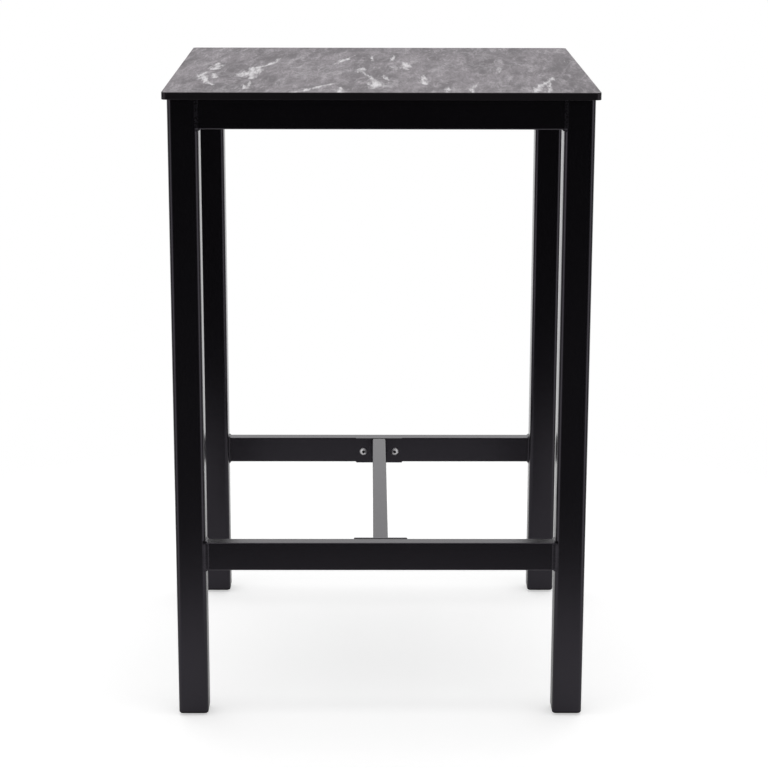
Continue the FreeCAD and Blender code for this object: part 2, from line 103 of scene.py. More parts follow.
class Graph:
    """The node tree of a material or a world, with short calls for what is used here."""

    def __init__(self, owner, shader="Principled BSDF", place="Object"):
        owner.use_nodes = True
        self.owner = owner
        self.tree = owner.node_tree
        self.shader = self.tree.nodes[shader]
        self.place = self.add("ShaderNodeTexCoord").outputs[place]

    def add(self, kind, **settings):
        """A new node with its settings."""
        node = self.tree.nodes.new(kind)
        for key, value in settings.items():
            setattr(node, key, value)
        return node

    def feed(self, socket, value):
        """Links an output to a socket, or sets the socket's own value."""
        if isinstance(value, bpy.types.NodeSocket):
            self.tree.links.new(value, socket)
        elif value is not None:
            socket.default_value = value

    def math(self, operation, first, second=None, third=None):
        """A sum, product or the like of up to three numbers."""
        node = self.add("ShaderNodeMath", operation=operation)
        for socket, value in zip(node.inputs, (first, second, third)):
            self.feed(socket, value)
        return node.outputs[0]

    def vector(self, operation, first, second=None, scale=None):
        """The same for vectors; a length, distance or dot product comes out as a number."""
        node = self.add("ShaderNodeVectorMath", operation=operation)
        self.feed(node.inputs[0], first)
        self.feed(node.inputs[1], second)
        self.feed(node.inputs[3], scale)
        scalar = operation in ("LENGTH", "DISTANCE", "DOT_PRODUCT")
        return node.outputs["Value" if scalar else "Vector"]

    def noise(self, scale, detail=3.0, roughness=0.5, distortion=0.0, place=None, out="Fac"):
        """Soft noise at a place, as a number or as a colour."""
        node = self.add("ShaderNodeTexNoise")
        self.feed(node.inputs["Vector"], place or self.place)
        node.inputs["Scale"].default_value = scale
        node.inputs["Detail"].default_value = detail
        node.inputs["Roughness"].default_value = roughness
        node.inputs["Distortion"].default_value = distortion
        return node.outputs[out]

    def stretch(self, scale, turn=(0, 0, 0), place=None):
        """The place turned and scaled apart along its axes, for grain and streaks."""
        node = self.add("ShaderNodeMapping")
        self.feed(node.inputs["Vector"], place or self.place)
        node.inputs["Rotation"].default_value = turn
        node.inputs["Scale"].default_value = scale
        return node.outputs["Vector"]

    def grain(self, long, lean=0.0):
        """The place for a texture drawn out along the table's depth, leaning by an angle."""
        return self.stretch((1, 1 / long, 1), place=self.stretch((1, 1, 1), (0, 0, lean)))

    def band(self, value, low, high, to_low=0.0, to_high=1.0):
        """Maps a stretch of values smoothly to another."""
        node = self.add("ShaderNodeMapRange", interpolation_type="SMOOTHSTEP")
        self.feed(node.inputs["Value"], value)
        node.inputs["From Min"].default_value = low
        node.inputs["From Max"].default_value = high
        self.feed(node.inputs["To Min"], to_low)
        self.feed(node.inputs["To Max"], to_high)
        return node.outputs[0]

    def mix(self, factor, first, second):
        """Goes from one colour to another; the mix node has its colours at sockets 6 and 7."""
        node = self.add("ShaderNodeMix", data_type="RGBA")
        self.feed(node.inputs["Factor"], factor)
        for socket, colour in zip(node.inputs[6:8], (first, second)):
            self.feed(socket, (*colour, 1) if isinstance(colour, tuple) else colour)
        return node.outputs[2]

    def blend(self, factor, first, second):
        """Goes from one number to another; the mix node has its numbers at sockets 2 and 3."""
        node = self.add("ShaderNodeMix", data_type="FLOAT")
        self.feed(node.inputs["Factor"], factor)
        for socket, number in zip(node.inputs[2:4], (first, second)):
            self.feed(socket, number)
        return node.outputs[0]

    def split(self, place):
        """A vector's x, y and z."""
        node = self.add("ShaderNodeSeparateXYZ")
        self.feed(node.inputs[0], place)
        return node.outputs["X"], node.outputs["Y"], node.outputs["Z"]

    def join(self, x=0.0, y=0.0, z=0.0):
        """A vector from x, y and z."""
        node = self.add("ShaderNodeCombineXYZ")
        for socket, value in zip(node.inputs, (x, y, z)):
            self.feed(socket, value)
        return node.outputs[0]

    def curves(self, value, *courses):
        """Follows up to three courses of (value, height) points, all between -1 and 1."""
        node = self.add("ShaderNodeVectorCurve")
        self.feed(node.inputs["Vector"], self.join(value, value, value))
        for curve, course in zip(node.mapping.curves, courses):
            points = curve.points
            points[0].location = course[0]
            points[1].location = course[-1]
            for knot in course[1:-1]:
                points.new(*knot)
        node.mapping.extend = "HORIZONTAL"
        node.mapping.update()
        return self.split(node.outputs[0])

    def wander(self, scale, reach, place, detail=2.0):
        """The place pushed about by soft noise, so that lines drawn through it waver."""
        push = self.noise(scale, detail, place=place, out="Color")
        swing = self.vector("SUBTRACT", push, (0.5, 0.5, 0.5))
        return self.vector("ADD", place, self.vector("SCALE", swing, scale=reach))

    def bump(self, height, distance, strength):
        """Roughens the shader's normal by a height."""
        node = self.add("ShaderNodeBump")
        node.inputs["Strength"].default_value = strength
        node.inputs["Distance"].default_value = distance
        self.feed(node.inputs["Height"], height)
        self.feed(self.shader.inputs["Normal"], node.outputs["Normal"])

    def set(self, **inputs):
        """Feeds the shader's own sockets; an underscore stands for a space."""
        for key, value in inputs.items():
            if isinstance(value, tuple):
                value = (*value, 1)
            self.feed(self.shader.inputs[key.replace("_", " ")], value)


# ---------------------------------------------------------------- materials

# Most of a noise texture's values lie between these.
NOISE_SPAN = (0.3, 0.7)

COAT_IOR = 1.6
COAT_TINT = (0.92, 0.85, 1.0)
COAT_DARK = (0.0012, 0.0011, 0.0015)
COAT_LIGHT = (0.0022, 0.0020, 0.0026)
# The weld's coat colours are a little paler than the coat's: a painted sheen on the bead.
WELD_SHEEN_DARK = (0.0014, 0.0013, 0.0017)
WELD_SHEEN_LIGHT = (0.0026, 0.0024, 0.0030)
NYLON_DARK = (0.0035, 0.0034, 0.0040)
NYLON_LIGHT = (0.0070, 0.0068, 0.0078)
PLATING_DARK = (0.80, 0.79, 0.81)
PLATING_LIGHT = (0.93, 0.92, 0.94)
# Painted shade for the recess of the bolts' hex sockets.
SOCKET_PAINTED_SHADE = (0.055, 0.052, 0.056)


def powder_coat():
    """Fine-textured semi-gloss black powder coat."""
    g = Graph(bpy.data.materials.new("powder_coat_black"))
    peel = g.noise(900, detail=4, roughness=0.6)
    cloud = g.noise(14, detail=2)
    g.set(
        Base_Color=g.mix(cloud, COAT_DARK, COAT_LIGHT),
        Roughness=g.band(peel, *NOISE_SPAN, 0.18, 0.26),
        IOR=COAT_IOR,
        Specular_Tint=COAT_TINT,
    )
    g.bump(peel, distance=0.05 * MM, strength=0.6)
    return g.owner


def weld_paint():
    """The same coat over weld metal, a little rougher on the uneven bead, and painted paler there as a
    painted sheen.
    """
    g = Graph(bpy.data.materials.new("powder_coat_on_weld"))
    flow = g.noise(420, detail=3)
    g.set(
        Base_Color=g.mix(flow, WELD_SHEEN_DARK, WELD_SHEEN_LIGHT),
        Roughness=g.band(flow, *NOISE_SPAN, 0.24, 0.34),
        IOR=COAT_IOR,
        Specular_Tint=COAT_TINT,
    )
    g.bump(flow, distance=0.10 * MM, strength=0.5)
    return g.owner


def moulded_nylon():
    """Black nylon with a spark-eroded grain."""
    g = Graph(bpy.data.materials.new("nylon_black"))
    speck = g.noise(1300, detail=3, roughness=0.6)
    g.set(
        Base_Color=g.mix(speck, NYLON_DARK, NYLON_LIGHT),
        Roughness=g.band(speck, *NOISE_SPAN, 0.50, 0.66),
        Specular_IOR_Level=0.22,
    )
    g.bump(speck, distance=0.06 * MM, strength=0.6)
    return g.owner


def turned_metal(name, dark, light, rough_low, rough_high):
    """Plated or turned metal: fine lathe and handling marks over a soft cloud."""
    g = Graph(bpy.data.materials.new(name))
    marks = g.noise(1800, detail=2, place=g.stretch((1, 1, 5)))
    cloud = g.noise(160, detail=3)
    g.set(
        Base_Color=g.mix(cloud, dark, light),
        Roughness=g.band(marks, *NOISE_SPAN, rough_low, rough_high),
        Metallic=1.0,
    )
    g.bump(marks, distance=0.01 * MM, strength=0.4)
    return g.owner


def bolt_zinc():
    """Bright zinc on the button heads, with painted shade in their hex sockets: a dark disc round each bolt's
    axis.
    """
    g = Graph(bpy.data.materials.new("zinc_bright"))
    marks = g.noise(1500, detail=2)
    cloud = g.noise(220, detail=3)
    x, _, z = g.split(g.place)
    flat_place = g.join(g.math("ABSOLUTE", x), 0.0, z)
    nearest = None
    for axis in BOLT_AXES:
        away = g.vector("DISTANCE", flat_place, axis)
        nearest = away if nearest is None else g.math("MINIMUM", nearest, away)
    # A dark disc round each axis: painted shade standing in for the shadow in the hex socket's recess.
    socket = g.band(nearest, SOCKET_SHADE_REACH - SOCKET_SHADE_SOFT, SOCKET_SHADE_REACH, 1.0, 0.0)
    plating = g.mix(cloud, PLATING_DARK, PLATING_LIGHT)
    g.set(
        Base_Color=g.mix(socket, plating, SOCKET_PAINTED_SHADE),
        Roughness=g.band(marks, *NOISE_SPAN, 0.40, 0.54),
        Metallic=0.9,
    )
    g.bump(marks, distance=0.01 * MM, strength=0.4)
    return g.owner


# Pale veins of the decor: each is a course of (y, x, half width, strength), rear to front. Places are
# in metres. The half width is in millimetres, to where a vein of full strength is about half faded.
VEINS = (
    ((0.08, -0.285, 3, 0.8), (0.02, -0.284, 8, 1.0), (-0.02, -0.287, 5, 0.8)),
    ((-0.06, -0.297, 4, 0.9), (-0.13, -0.301, 6, 1.0), (-0.18, -0.293, 5, 1.0), (-0.245, -0.275, 3, 0.9)),
    ((-0.09, -0.283, 4, 0.8), (-0.15, -0.280, 4, 1.0)),
    ((0.16, -0.178, 3, 0.7), (0.10, -0.184, 4, 0.9), (0.05, -0.195, 5, 0.8), (0.01, -0.213, 7, 0.9),
     (-0.04, -0.216, 9, 1.0), (-0.10, -0.219, 7, 1.0), (-0.16, -0.215, 5, 0.9)),
    ((-0.07, -0.238, 6, 0.5), (-0.12, -0.237, 8, 0.8), (-0.14, -0.236, 4, 0.4)),
    ((-0.185, -0.2185, 3, 0.9), (-0.25, -0.2185, 4, 1.0), (-0.300, -0.219, 5, 1.0)),
    ((0.255, -0.035, 2, 0.5), (0.19, -0.050, 3, 0.5), (0.14, -0.063, 4, 1.0), (0.10, -0.071, 3, 0.7),
     (0.06, -0.080, 2, 0.5)),
    ((0.215, -0.010, 3, 0.5), (0.165, -0.015, 3, 0.9), (0.115, -0.0125, 3, 0.8), (0.04, -0.014, 5, 0.3)),
    ((0.005, -0.030, 3, 0.8), (-0.03, -0.0325, 5, 1.0), (-0.09, -0.025, 4, 0.8), (-0.145, -0.0175, 4, 0.8),
     (-0.19, -0.013, 5, 1.0), (-0.25, -0.006, 8, 1.0), (-0.295, -0.015, 5, 0.9)),
    ((0.22, 0.0275, 2, 0.6), (0.15, 0.0225, 3, 0.9), (0.11, 0.019, 2, 0.6)),
    ((0.10, 0.0425, 3, 0.6), (0.05, 0.045, 5, 1.0), (0.00, 0.0455, 6, 0.9), (-0.03, 0.044, 3, 0.4)),
    ((0.04, 0.024, 3, 0.5), (0.0, 0.026, 4, 0.6), (-0.03, 0.028, 2, 0.3)),
    ((-0.10, 0.006, 2, 0.6), (-0.155, 0.010, 3, 0.9), (-0.19, 0.014, 2, 0.7), (-0.235, 0.004, 3, 0.5)),
    ((-0.04, 0.083, 2, 0.5), (-0.085, 0.075, 2, 0.6), (-0.14, 0.071, 3, 0.8), (-0.20, 0.069, 4, 1.0),
     (-0.24, 0.0725, 2, 0.8)),
    ((-0.20, 0.162, 2, 0.6), (-0.285, 0.150, 3, 1.0), (-0.345, 0.145, 2, 0.8)),
    ((-0.13, 0.288, 2, 0.7), (-0.18, 0.280, 4, 1.0), (-0.25, 0.2575, 5, 0.9), (-0.345, 0.243, 4, 0.9)),
    ((-0.19, 0.2775, 3, 0.7), (-0.25, 0.273, 3, 0.9), (-0.34, 0.265, 3, 0.9)),
    ((0.01, 0.204, 3, 0.6), (-0.03, 0.204, 4, 0.6), (-0.08, 0.200, 2, 0.3)),
    ((-0.225, -0.075, 5, 0.8), (-0.265, -0.0975, 6, 0.9), (-0.305, -0.115, 6, 0.9), (-0.345, -0.138, 6, 1.0)),
    ((-0.28, -0.065, 3, 0.7), (-0.345, -0.0655, 4, 1.0)),
    ((0.31, 0.290, 3, 0.4), (0.25, 0.310, 4, 0.5), (0.18, 0.320, 3, 0.4), (0.08, 0.330, 4, 0.4)),
    ((-0.29, 0.107, 3, 0.6), (-0.345, 0.105, 4, 0.9)),
    ((0.34, -0.166, 2, 0.4), (0.24, -0.164, 3, 0.3)),
)

# The curves hold values up to 1, so the half widths go in divided by this.
VEIN_SCALE = 10
# How fast a vein fades to its sides, for each unit of half width, and past its ends, in half tops.
VEIN_FADE = 1.7 * MM
VEIN_TAPER = 0.03
# How far the veins and wisps are pushed about, and how much of its noise a wisp takes up.
VEIN_WANDER = 9 * MM
VEIN_SWING = 14 * MM
WISP_WANDER = 26 * MM
WISP_WIDE = 0.035

STONE_DEEP = (0.086, 0.077, 0.084)
STONE_LIGHT = (0.198, 0.180, 0.194)
STREAK_LIGHT = (0.360, 0.337, 0.356)
STREAK_DARK = (0.058, 0.052, 0.057)
SPECK_DARK = (0.048, 0.043, 0.047)
WISP_PALE = (0.46, 0.445, 0.46)
VEIN_PALE = (0.66, 0.645, 0.66)
CORE_DARK = (0.0040, 0.0037, 0.0043)
CORE_LIGHT = (0.0075, 0.0070, 0.0080)
CORE_ROUGHNESS = 0.30

# The decor begins this far under the upper face, and has its full colour from the second depth up.
DECOR_STARTS = 0.5 * MM
DECOR_FULL = 0.3 * MM


def vein_pattern(g):
    """The pale veins and the noise that breaks their edges, from 0 to 1."""
    wavering = g.wander(14, VEIN_WANDER, g.grain(2))
    wavering = g.vector("MULTIPLY", wavering, (1, 2, 1))
    ragged = g.grain(8)
    swing = g.noise(60, detail=5, roughness=0.7, place=ragged)
    across, along, _ = g.split(wavering)
    across = g.math("ADD", across, g.math("MULTIPLY", g.math("SUBTRACT", swing, 0.5), VEIN_SWING))
    along = g.math("DIVIDE", along, HALF_TOP)
    across = g.math("DIVIDE", across, HALF_TOP)
    total = None
    for vein in VEINS:
        course = sorted(
            (y / HALF_TOP, x / HALF_TOP, wide / VEIN_SCALE, strength) for y, x, wide, strength in vein
        )
        ends = ((course[0][0] - VEIN_TAPER, 0.0), (course[-1][0] + VEIN_TAPER, 0.0))
        centre, wide, strength = g.curves(
            along,
            [(step[0], step[1]) for step in course],
            [(step[0], step[2]) for step in course],
            [ends[0], *((step[0], step[3]) for step in course), ends[1]],
        )
        off = g.math("ABSOLUTE", g.math("SUBTRACT", across, centre))
        reach = g.math("MULTIPLY", wide, VEIN_SCALE * VEIN_FADE / HALF_TOP)
        near = g.math("MAXIMUM", g.math("SUBTRACT", 2.0, g.math("DIVIDE", off, reach)), 0.0)
        spread = g.math("MULTIPLY", near, strength)
        total = spread if total is None else g.math("MAXIMUM", total, spread)
    coarse = g.noise(75, detail=6, roughness=0.75, distortion=0.5, place=ragged)
    fine = g.noise(240, detail=4, roughness=0.7, place=ragged)
    crumble = g.math("ADD", g.math("MULTIPLY", coarse, 4.2), g.math("MULTIPLY", fine, 2.2))
    crumble = g.math("SUBTRACT", crumble, 3.2)
    broken = g.math("ADD", total, g.math("MULTIPLY", crumble, g.band(total, 0.0, 0.6)))
    body = g.noise(150, detail=4, roughness=0.7, place=ragged)
    return g.math("MULTIPLY", g.band(broken, 0.85, 2.05), g.band(body, 0.30, 0.62, 0.45, 1.0))


def wisp_pattern(g, scale, lean, where_scale):
    """Faint hairline wisps that come and go."""
    wavering = g.wander(14, WISP_WANDER, g.grain(3, lean), detail=4)
    ridge = g.noise(scale, detail=5, roughness=0.66, place=wavering)
    hair = g.band(g.math("ABSOLUTE", g.math("SUBTRACT", ridge, 0.5)), 0.0, WISP_WIDE, 1.0, 0.0)
    where = g.band(g.noise(where_scale, detail=3, place=g.grain(2)), 0.46, 0.68)
    return g.math("MULTIPLY", hair, where)


def stone_colour(g, speck):
    """The decor's colour: smoky stone, streaks and specks, then the wisps and the veins over them."""
    vein = vein_pattern(g)
    wisp = g.math("MAXIMUM", wisp_pattern(g, 12, 0.15, 7), wisp_pattern(g, 30, -0.25, 12))
    smoke = g.noise(20, detail=5, roughness=0.62, distortion=0.8, place=g.grain(4, 0.12))
    streak = g.noise(75, detail=6, roughness=0.74, distortion=0.5, place=g.grain(7, 0.07))
    stone = g.mix(g.band(smoke, 0.36, 0.64), STONE_DEEP, STONE_LIGHT)
    stone = g.mix(g.band(streak, 0.46, 0.72, 0.0, 0.9), stone, STREAK_LIGHT)
    stone = g.mix(g.band(streak, 0.30, 0.50, 0.60, 0.0), stone, STREAK_DARK)
    stone = g.mix(g.band(speck, 0.36, 0.54, 0.55, 0.0), stone, SPECK_DARK)
    stone = g.mix(g.band(speck, 0.52, 0.70, 0.0, 0.35), stone, STREAK_LIGHT)
    stone = g.mix(g.math("MULTIPLY", wisp, 0.30), stone, WISP_PALE)
    return g.mix(g.math("MULTIPLY", vein, 0.95), stone, VEIN_PALE)


def marble_laminate():
    """Compact laminate: a grey marble decor on the upper face, black core at the edge and below."""
    g = Graph(bpy.data.materials.new("marble_laminate"))
    speck = g.noise(300, detail=4, roughness=0.7, place=g.grain(7, -0.05))
    core = g.mix(g.noise(700, detail=3), CORE_DARK, CORE_LIGHT)
    normal = g.add("ShaderNodeNewGeometry").outputs["Normal"]
    decor = g.math(
        "MULTIPLY",
        g.band(g.split(normal)[2], 0.80, 0.92),
        g.band(g.split(g.place)[2], top_high.z - DECOR_STARTS, top_high.z - DECOR_FULL),
    )
    face = g.band(speck, *NOISE_SPAN, 0.52, 0.62)
    g.set(
        Base_Color=g.mix(decor, core, stone_colour(g, speck)),
        Roughness=g.band(decor, 0.0, 1.0, CORE_ROUGHNESS, face),
        Specular_IOR_Level=0.42,
        Specular_Tint=(0.98, 0.86, 0.97),
    )
    g.bump(speck, distance=0.02 * MM, strength=0.35)
    return g.owner


def dress_nodes():
    """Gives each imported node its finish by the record's slots."""
    finishes = {
        "laminate_top": marble_laminate(),
        "black_frame": powder_coat(),
        "bright_bolts": bolt_zinc(),
        "zinc_steel": turned_metal(
            "zinc_dull", dark=(0.42, 0.42, 0.40), light=(0.58, 0.58, 0.55), rough_low=0.30, rough_high=0.45
        ),
        "brass_inserts": turned_metal(
            "brass_turned", dark=(0.55, 0.38, 0.15), light=(0.72, 0.53, 0.25), rough_low=0.25, rough_high=0.4
        ),
        "black_nylon": moulded_nylon(),
    }
    for part in frame["record"]["subparts"]:
        node = nodes[part["node"]]
        finish = finishes[part["material_slot"]]
        for slot in node.material_slots:
            slot.material = finish
    return finishes


# ---------------------------------------------------------------- weld beads

# A bead's leg is its reach along each face. Its face bulges by a share of that, and it is sunk
# into both faces.
BEAD_LEG = 3.4 * MM
BEAD_LEAST = 0.5 * MM
BEAD_BULGE = 0.112
BEAD_SUNK = 0.3 * MM
BEAD_STEPS = 5
EDGE_MARGIN = 0.2 * MM
FACES_OUT = 0.05
NOTCH_SHARE = 0.6
CORNER_STEPS = 5

# The same for the small beads at the end plates, which stop short of the tube's corners.
PLATE_BEAD_LEG = 2.4 * MM
PLATE_BEAD_BULGE = 0.098
PLATE_BEAD_SHORT = 1.5 * MM
PLATE_BEAD_END = 0.5

# The raised bead up the foot rails' outer face, from its toe on the leg to its edge on the rail.
CROWN_ONTO_LEG = 4.6 * MM
CROWN_ONTO_RAIL = 5.6 * MM
CROWN_COVER = 0.92
CROWN_COVER_SWING = 0.5
CROWN_BULGE = 0.75 * MM
CROWN_LEAN = 1.5
CROWN_STEPS = 9
CROWN_TOE = 0.2 * MM
CROWN_HEM = 0.6 * MM
CROWN_EDGE_FALL = 0.6
CROWN_SHORT = 0.4 * MM
CROWN_END = 0.35

# The dressed bead at the aprons' outer face.
FLUSH_ONTO_LEG = 7.2 * MM
FLUSH_ONTO_RAIL = 2.0 * MM
FLUSH_BELOW = 0.03 * MM
FLUSH_SHORT = 0.15 * MM
FLUSH_STEPS = 8

# The metal under either of them: into the rail's end, then along the leg's rounded corner.
ROOT_INTO_RAIL = 0.6 * MM
ROOT_TOP = 2.4 * MM
ROOT_FOOT = 0.96
NOTCH_STOPS = (0.02, 0.12, 0.30, 0.55, 0.80)
NOTCH_SUNK = 0.15 * MM

RIPPLE_PITCH = 2.3 * MM
RIPPLE_SIZE = 0.07
DRIFT_SIZE = 0.16
DRIFT_RATE = 90
DRIFT_SLICE = 0.3

STATION = 1.1 * MM
END_FADE = 3.0 * MM
SHARP_TURN = math.radians(42)


class Joint:
    """Where a rail's end meets an upright face, in its own directions.

    along points from the upright into the rail, out from the middle of the table to the
    rail's outer face, and up is up. corner is the outer edge of the joint at half height.
    """

    def __init__(self, name, corner, along, out, deep, high, corner_radius):
        self.name = name
        self.corner = Vector(corner)
        self.along = Vector(along)
        self.out = Vector(out)
        self.deep = deep
        self.high = high
        self.corner_radius = corner_radius

    def at(self, along, out, up):
        """The world place of a point given in the joint's directions."""
        return self.corner + along * self.along + out * self.out + up * Vector((0, 0, 1))


def notch_depth(outward, radius):
    """How far an upright's rounded corner falls back from its side face, at a depth under its front."""
    reach = radius + outward
    if reach <= 0:
        return 0.0
    return radius - math.sqrt(max(radius * radius - reach * reach, 0.0))


def fall_at(outward, radius):
    """The same, no further than a bead reaches back into the notch."""
    return min(notch_depth(outward, radius), radius * NOTCH_SHARE)


def rail_rim(joint, open_top):
    """Places and outward directions round a rail: over its top, down its inner face and back below.

    An open top is left out, so the round starts just under the top of the inner face.
    """
    bend = joint.corner_radius
    half = joint.high / 2
    centres = ((-bend, half - bend), (-joint.deep + bend, half - bend),
               (-joint.deep + bend, -half + bend), (-bend, -half + bend))
    rim = []
    first = 0
    if open_top:
        rim.append(((-joint.deep, half - EDGE_MARGIN), (-1.0, 0.0)))
        first = 2
    for quarter in range(first, 4):
        middle = centres[quarter]
        for step in range(CORNER_STEPS + 1):
            angle = math.radians(90 * (quarter + step / CORNER_STEPS))
            normal = (math.cos(angle), math.sin(angle))
            rim.append(((middle[0] + bend * normal[0], middle[1] + bend * normal[1]), normal))
    return rim


def spaced(rim, step):
    """The same way round at an even spacing."""
    result = [rim[0]]
    for (a, na), (b, nb) in zip(rim, rim[1:]):
        gap = math.dist(a, b)
        parts = max(1, round(gap / step))
        for part in range(1, parts + 1):
            t = part / parts
            place = tuple(p + (q - p) * t for p, q in zip(a, b))
            normal = Vector(na).lerp(Vector(nb), t).normalized()
            result.append((place, tuple(normal)))
    return result


def loft(shape, rings):
    """Skins a row of rings with the same number of points, and closes both ends."""
    rows = [[shape.verts.new(point) for point in ring] for ring in rings]
    count = len(rows[0])
    for one, two in zip(rows, rows[1:]):
        for k in range(count):
            n = (k + 1) % count
            shape.faces.new((one[k], one[n], two[n], two[k]))
    shape.faces.new(rows[0])
    shape.faces.new(list(reversed(rows[-1])))


def ripple(seed, travel):
    """The little steps that a weld pool leaves, with some unevenness."""
    scallop = 0.5 + 0.5 * math.sin(travel / RIPPLE_PITCH * math.tau)
    drift = noise.noise(Vector((travel * DRIFT_RATE, seed, DRIFT_SLICE)))
    return 1.0 + RIPPLE_SIZE * scallop + DRIFT_SIZE * drift


def fillet_section(size, bulge, backs):
    """A fillet's section; backs says how far the upright falls back behind it, from foot to top."""
    section = [(-backs[0] - BEAD_SUNK, -BEAD_SUNK), (size, -BEAD_SUNK)]
    for step, back in enumerate(backs):
        t = step / BEAD_STEPS
        swell = bulge * size * math.sin(math.pi * t)
        section.append(((1 - t) * size - t * back + swell, t * size + swell))
    section.append((-backs[-1] - BEAD_SUNK, size))
    return section


def fillet_rings(joint, seed, leg, radius, open_top):
    """The fillet round a rail's end, which stays behind the rail's outer face."""
    rim = spaced(rail_rim(joint, open_top), STATION)
    rings = []
    travel = 0.0
    for index, ((out, up), (n_out, n_up)) in enumerate(rim):
        if index:
            travel += math.dist(rim[index - 1][0], (out, up))
        size = leg * ripple(seed, travel)
        if n_out > FACES_OUT:
            size = min(size, max((-EDGE_MARGIN - out) / n_out, BEAD_LEAST))
        lifts = [size * step / BEAD_STEPS for step in range(BEAD_STEPS + 1)]
        backs = [fall_at(out + n_out * lift, radius) for lift in lifts]
        rings.append([
            joint.at(along, out + n_out * lift, up + n_up * lift)
            for along, lift in fillet_section(size, BEAD_BULGE, backs)
        ])
    return rings


def crown_section(joint, up, swell, fade, radius):
    """The bead's surface at one height: up out of the notch, then over the rail's edge."""
    reach = CROWN_ONTO_LEG * swell
    cover = CROWN_ONTO_RAIL * (CROWN_COVER + CROWN_COVER_SWING * (swell - 1.0)) * fade
    toe = notch_depth(-reach, radius)
    half = joint.high / 2
    fall_back = max(0.0, joint.corner_radius - max(0.0, half - abs(up))) * CROWN_EDGE_FALL
    section = [(-reach - CROWN_TOE, -toe - BEAD_SUNK)]
    for step in range(CROWN_STEPS + 1):
        t = step / CROWN_STEPS
        along = -reach + (reach + cover) * t
        base = toe * along / reach if along < 0 else -fall_back * along / cover
        bulge = CROWN_BULGE * swell * fade * math.sin(math.pi * t ** CROWN_LEAN)
        section.append((along, base + bulge))
    section.append((cover, -fall_back - BEAD_SUNK - CROWN_HEM))
    return section


def flush_section():
    """A surface dressed level with both faces, which fills the notch between them."""
    wide = FLUSH_ONTO_LEG + FLUSH_ONTO_RAIL
    section = [(-FLUSH_ONTO_LEG, -FLUSH_BELOW - BEAD_SUNK)]
    for step in range(FLUSH_STEPS + 1):
        section.append((-FLUSH_ONTO_LEG + wide * step / FLUSH_STEPS, -FLUSH_BELOW))
    section.append((FLUSH_ONTO_RAIL, -FLUSH_BELOW - BEAD_SUNK))
    return section


def end_fade(least, end):
    """A bead's size near its ends, where it starts from the least share and grows to full."""
    return min(1.0, least + end / END_FADE)


def crown_rings(joint, seed, radius, flush):
    """The weld up the outer face, with the metal that fills the notch beside the rounded corner."""
    half = joint.high / 2
    low = -half + CROWN_SHORT
    high = half - (FLUSH_SHORT if flush else CROWN_SHORT)
    count = max(2, round((high - low) / STATION))
    rings = []
    for index in range(count + 1):
        up = low + (high - low) * index / count
        if flush:
            section = flush_section()
        else:
            fade = end_fade(CROWN_END, min(up - low, half - up))
            section = crown_section(joint, up, ripple(seed, up + half), fade, radius)
        section.append((ROOT_INTO_RAIL, -ROOT_TOP))
        section.append((ROOT_INTO_RAIL, -radius * ROOT_FOOT))
        for stop in NOTCH_STOPS:
            into = CROWN_ONTO_LEG * stop
            section.append((-into - NOTCH_SUNK, -notch_depth(-into, radius) - NOTCH_SUNK))
        rings.append([joint.at(along, lift, up) for along, lift in section])
    return rings


def add_piece(name, shape, body, material):
    """Turns a bmesh into a piece that rides on a body, smooth but for its sharp turns."""
    bmesh.ops.recalc_face_normals(shape, faces=shape.faces)
    for face in shape.faces:
        face.smooth = True
    for edge in shape.edges:
        edge.smooth = edge.calc_face_angle(0.0) < SHARP_TURN
    mesh = bpy.data.meshes.new(name)
    shape.to_mesh(mesh)
    shape.free()
    mesh.materials.append(material)
    piece = bpy.data.objects.new(name, mesh)
    scene.collection.objects.link(piece)
    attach(piece, body)
    return piece


def frame_joints():
    """The welded ends of the aprons and foot rails of both end frames."""
    for row, (low, high), open_top in (
        ("foot_rail", (rail_low, rail_high), False),
        ("apron", (apron_low, apron_high), True),
    ):
        for end, y_side in (("front", -1), ("rear", 1)):
            for side, x_side in (("left", -1), ("right", 1)):
                joint = Joint(
                    f"weld_{row}_{end}_{side}",
                    (x_side * high.x, -y_side * low.y, (low.z + high.z) / 2),
                    (-x_side, 0, 0), (0, y_side, 0),
                    high.y - low.y, high.z - low.z, RAIL_CORNER,
                )
                yield joint, open_top


def add_frame_welds(material):
    """One piece for each joint: the fillet round the rail and the weld up its outer face."""
    for number, (joint, open_top) in enumerate(frame_joints()):
        shape = bmesh.new()
        loft(shape, fillet_rings(joint, number * 3.1, BEAD_LEG, LEG_CORNER, open_top))
        loft(shape, crown_rings(joint, number * 5.7 + 40, LEG_CORNER, open_top))
        add_piece(joint.name, shape, "frame", material)


def side_weld(name, foot, along, out, low, high, material, seed):
    """A small upright fillet between a tube's side and the plate that closes its end."""
    foot = Vector(foot)
    along = Vector(along)
    out = Vector(out)
    low += PLATE_BEAD_SHORT
    high -= PLATE_BEAD_SHORT
    count = round((high - low) / STATION)
    rings = []
    for index in range(count + 1):
        up = low + (high - low) * index / count
        size = PLATE_BEAD_LEG * ripple(seed, up) * end_fade(PLATE_BEAD_END, min(up - low, high - up))
        section = fillet_section(size, PLATE_BEAD_BULGE, [0.0] * (BEAD_STEPS + 1))
        rings.append([foot + along * a + out * n + Vector((0, 0, up)) for a, n in section])
    shape = bmesh.new()
    loft(shape, rings)
    add_piece(name, shape, "frame", material)


